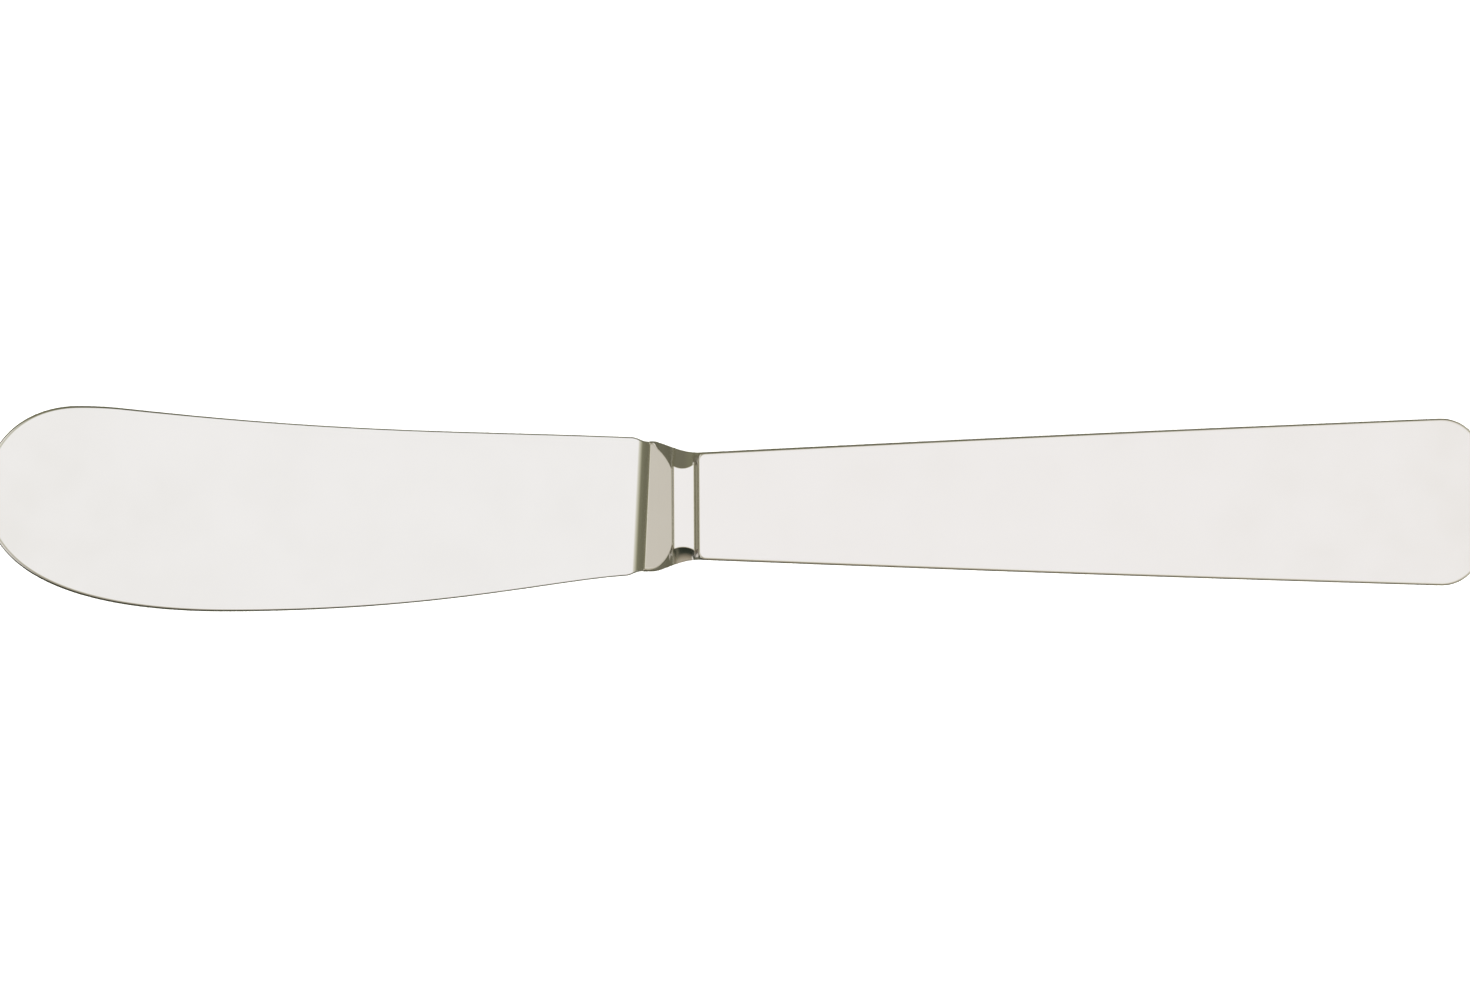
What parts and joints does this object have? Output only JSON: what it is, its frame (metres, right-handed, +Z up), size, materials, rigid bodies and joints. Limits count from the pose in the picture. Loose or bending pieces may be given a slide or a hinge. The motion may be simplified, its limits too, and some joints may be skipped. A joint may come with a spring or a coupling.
{
  "type": "butter knife",
  "caption": "Butter knife with a broad round-nosed blade and a flat, flaring hollow handle that narrows to a scalloped neck behind a raised collar.",
  "frame": {"origin": "under the middle of the knife's box, on the surface that the back of the handle rests on", "axes": "+X from the tip of the blade to the butt of the handle, +Y from the edge to the spine, +Z up through the thickness, out of the front face"},
  "size_m": [0.17, 0.0234, 0.006],
  "materials": {
    "stainless_blade": "polished",
    "plated_sheet": "polished",
    "silver_solder": "satin",
    "handle_cement": "matte"
  },
  "bodies": {
    "root": {"blade": "stainless_blade", "front_shell": "plated_sheet", "back_shell": "plated_sheet", "solder_seam": "silver_solder", "cement_core": "handle_cement"}
  },
  "joints": []
}
